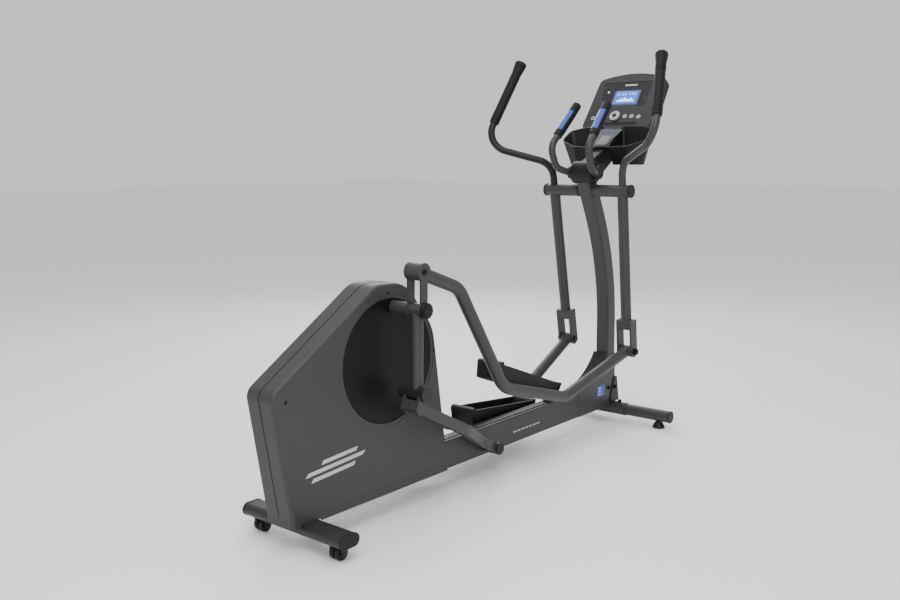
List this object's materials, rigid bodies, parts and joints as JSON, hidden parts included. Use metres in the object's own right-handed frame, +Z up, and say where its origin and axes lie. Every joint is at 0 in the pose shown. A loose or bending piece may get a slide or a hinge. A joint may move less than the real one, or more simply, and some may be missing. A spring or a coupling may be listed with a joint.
{
  "type": "elliptical trainer",
  "caption": "Rear-drive elliptical trainer: enclosed crank and flywheel, pedal levers, swing arms, fixed grips, console and accessory tray on a rail frame.",
  "frame": {"origin": "on the floor, under the middle of the machine's outer box", "axes": "+X from the rear drive housing towards the console, +Y to the left of a user who faces the console, +Z up"},
  "size_m": [2.1758, 0.7952, 1.5701],
  "materials": {
    "frame_paint": "satin powder coat",
    "black_paint": "satin",
    "housing_grey": "satin moulded",
    "black_plastic": "fine moulded grain",
    "disc_black": "soft gloss",
    "black_steel": "black oxide",
    "bearing_steel": "ground",
    "belt_rubber": "ribbed",
    "grip_rubber": "matte",
    "contact_metal": "polished",
    "console_face": "satin film",
    "display_window": "clear over display",
    "circuit_board": "solder mask",
    "legend_grey": "printed film",
    "pulley_aluminium": "cast",
    "flywheel_iron": "machined rim",
    "dial_silver": "satin",
    "pedal_plastic": "ribbed tread",
    "wheel_black": "hard",
    "button_grey": "soft touch"
  },
  "bodies": {
    "base": {"main_rail": "frame_paint", "rail_cover": "black_plastic", "rear_stabiliser": "frame_paint", "front_stabiliser": "frame_paint", "stabiliser_end_caps": "black_plastic", "front_base": "frame_paint", "front_brackets": "black_paint", "mast": "frame_paint", "mast_shroud": "black_plastic", "right_housing_shell": "housing_grey", "left_housing_shell": "housing_grey", "housing_skirt": "housing_grey", "housing_and_frame_screws": "black_steel", "drive_frame": "black_paint", "crank_bearings": "bearing_steel", "drive_belt": "belt_rubber", "magnetic_brake": "bearing_steel", "pivot_end_caps": "black_plastic", "neck_cover": "black_plastic", "fixed_handlebars": "frame_paint", "fixed_grips": "grip_rubber", "pulse_contacts": "contact_metal", "console_back": "black_plastic", "console_faceplate": "console_face", "display": "display_window", "circuit_board": "circuit_board", "accessory_tray": "black_plastic", "tray_plate": "legend_grey"},
    "crank": {"crank_shaft": "bearing_steel", "drive_pulley": "pulley_aluminium", "right_crank_disc": "disc_black", "left_crank_disc": "disc_black"},
    "flywheel": {"flywheel": "flywheel_iron"},
    "right_arm": {"right_swing_arm": "frame_paint", "right_clevis_bolt": "black_steel", "right_moving_handlebar": "frame_paint", "right_moving_grip": "grip_rubber"},
    "right_lever": {"right_pedal_lever": "frame_paint", "right_pedal": "pedal_plastic"},
    "right_rocker": {"right_rocker": "frame_paint"},
    "right_coupler": {"right_coupler": "frame_paint", "right_coupler_bolts": "black_steel"},
    "left_arm": {"left_swing_arm": "frame_paint", "left_clevis_bolt": "black_steel", "left_moving_handlebar": "frame_paint", "left_moving_grip": "grip_rubber"},
    "left_lever": {"left_pedal_lever": "frame_paint", "left_pedal": "pedal_plastic"},
    "left_rocker": {"left_rocker": "frame_paint"},
    "left_coupler": {"left_coupler": "frame_paint", "left_coupler_bolts": "black_steel"},
    "right_wheel": {"right_transport_wheel": "wheel_black"},
    "right_foot": {"right_levelling_foot": "black_plastic"},
    "left_wheel": {"left_transport_wheel": "wheel_black"},
    "left_foot": {"left_levelling_foot": "black_plastic"},
    "dial": {"selector_dial": "dial_silver"},
    "scan_key": {"scan_button": "button_grey"},
    "up_key": {"up_button": "button_grey"},
    "enter_key": {"enter_button": "button_grey"},
    "down_key": {"down_button": "button_grey"}
  },
  "joints": [
    {"name": "crank_spin", "type": "hinge", "parent": "base", "child": "crank", "pos_m": [-0.607, 0, 0.52], "axis": [0, 1, 0], "continuous": true},
    {"name": "flywheel_spin", "type": "hinge", "parent": "base", "child": "flywheel", "pos_m": [-0.881, 0, 0.33], "axis": [0, 1, 0], "continuous": true},
    {"name": "right_arm_swing", "type": "hinge", "parent": "base", "child": "right_arm", "pos_m": [0.672, -0.165, 1.021], "axis": [0, -1, 0], "range_deg": [-10, 10]},
    {"name": "right_lever_pivot", "type": "hinge", "parent": "right_arm", "child": "right_lever", "pos_m": [0.738, -0.165, 0.34823], "axis": [0, -1, 0], "range_deg": [-9.27, 9.27]},
    {"name": "right_rocker_swing", "type": "hinge", "parent": "base", "child": "right_rocker", "pos_m": [-0.064, -0.165, 0.102], "axis": [0, -1, 0], "range_deg": [-0.91, 0.91]},
    {"name": "right_coupler_pivot", "type": "hinge", "parent": "right_rocker", "child": "right_coupler", "pos_m": [-0.58963, -0.165, 0.42702], "axis": [0, -1, 0], "range_deg": [-18.32, 18.32]},
    {"name": "left_arm_swing", "type": "hinge", "parent": "base", "child": "left_arm", "pos_m": [0.672, 0.165, 1.021], "axis": [0, -1, 0], "range_deg": [-10.2, 10.2]},
    {"name": "left_lever_pivot", "type": "hinge", "parent": "left_arm", "child": "left_lever", "pos_m": [0.79299, 0.165, 0.35591], "axis": [0, -1, 0], "range_deg": [-8.63, 8.63]},
    {"name": "left_rocker_swing", "type": "hinge", "parent": "base", "child": "left_rocker", "pos_m": [-0.064, 0.165, 0.102], "axis": [0, -1, 0], "range_deg": [-0.74, 0.74]},
    {"name": "left_coupler_pivot", "type": "hinge", "parent": "left_rocker", "child": "left_coupler", "pos_m": [-0.68175, 0.165, 0.0844], "axis": [0, -1, 0], "range_deg": [-16.92, 16.92]},
    {"name": "right_wheel_roll", "type": "hinge", "parent": "base", "child": "right_wheel", "pos_m": [-0.951, -0.173, 0.022], "axis": [0, 1, 0], "continuous": true},
    {"name": "right_foot_screw", "type": "hinge", "parent": "base", "child": "right_foot", "pos_m": [0.867, -0.255, 0], "axis": [0, 0, 1], "continuous": true},
    {"name": "left_wheel_roll", "type": "hinge", "parent": "base", "child": "left_wheel", "pos_m": [-0.951, 0.173, 0.022], "axis": [0, 1, 0], "continuous": true},
    {"name": "left_foot_screw", "type": "hinge", "parent": "base", "child": "left_foot", "pos_m": [0.867, 0.255, 0], "axis": [0, 0, 1], "continuous": true},
    {"name": "dial_turn", "type": "hinge", "parent": "base", "child": "dial", "pos_m": [0.91219, 0.017, 1.33131], "axis": [-0.8218, 0, 0.5698], "continuous": true},
    {"name": "scan_press", "type": "slide", "parent": "base", "child": "scan_key", "axis": [0.8218, 0, -0.5698], "range_m": [0, 0.0015], "stiffness_N_per_m": 400},
    {"name": "up_press", "type": "slide", "parent": "base", "child": "up_key", "axis": [0.8218, 0, -0.5698], "range_m": [0, 0.0015], "stiffness_N_per_m": 400},
    {"name": "enter_press", "type": "slide", "parent": "base", "child": "enter_key", "axis": [0.8218, 0, -0.5698], "range_m": [0, 0.0015], "stiffness_N_per_m": 400},
    {"name": "down_press", "type": "slide", "parent": "base", "child": "down_key", "axis": [0.8218, 0, -0.5698], "range_m": [0, 0.0015], "stiffness_N_per_m": 400}
  ],
  "couplings": [
    {"joint": "flywheel_spin", "follows": "crank_spin", "ratio": 6},
    {"joint": "right_lever_pivot", "follows": "right_arm_swing", "ratio": -0.9036},
    {"joint": "right_rocker_swing", "follows": "right_arm_swing", "ratio": 0.0842},
    {"joint": "right_coupler_pivot", "follows": "right_arm_swing", "ratio": -1.791},
    {"joint": "left_arm_swing", "follows": "right_arm_swing", "ratio": -1},
    {"joint": "left_lever_pivot", "follows": "right_arm_swing", "ratio": 0.8417},
    {"joint": "left_rocker_swing", "follows": "right_arm_swing", "ratio": 0.0672},
    {"joint": "left_coupler_pivot", "follows": "right_arm_swing", "ratio": 1.6542}
  ]
}
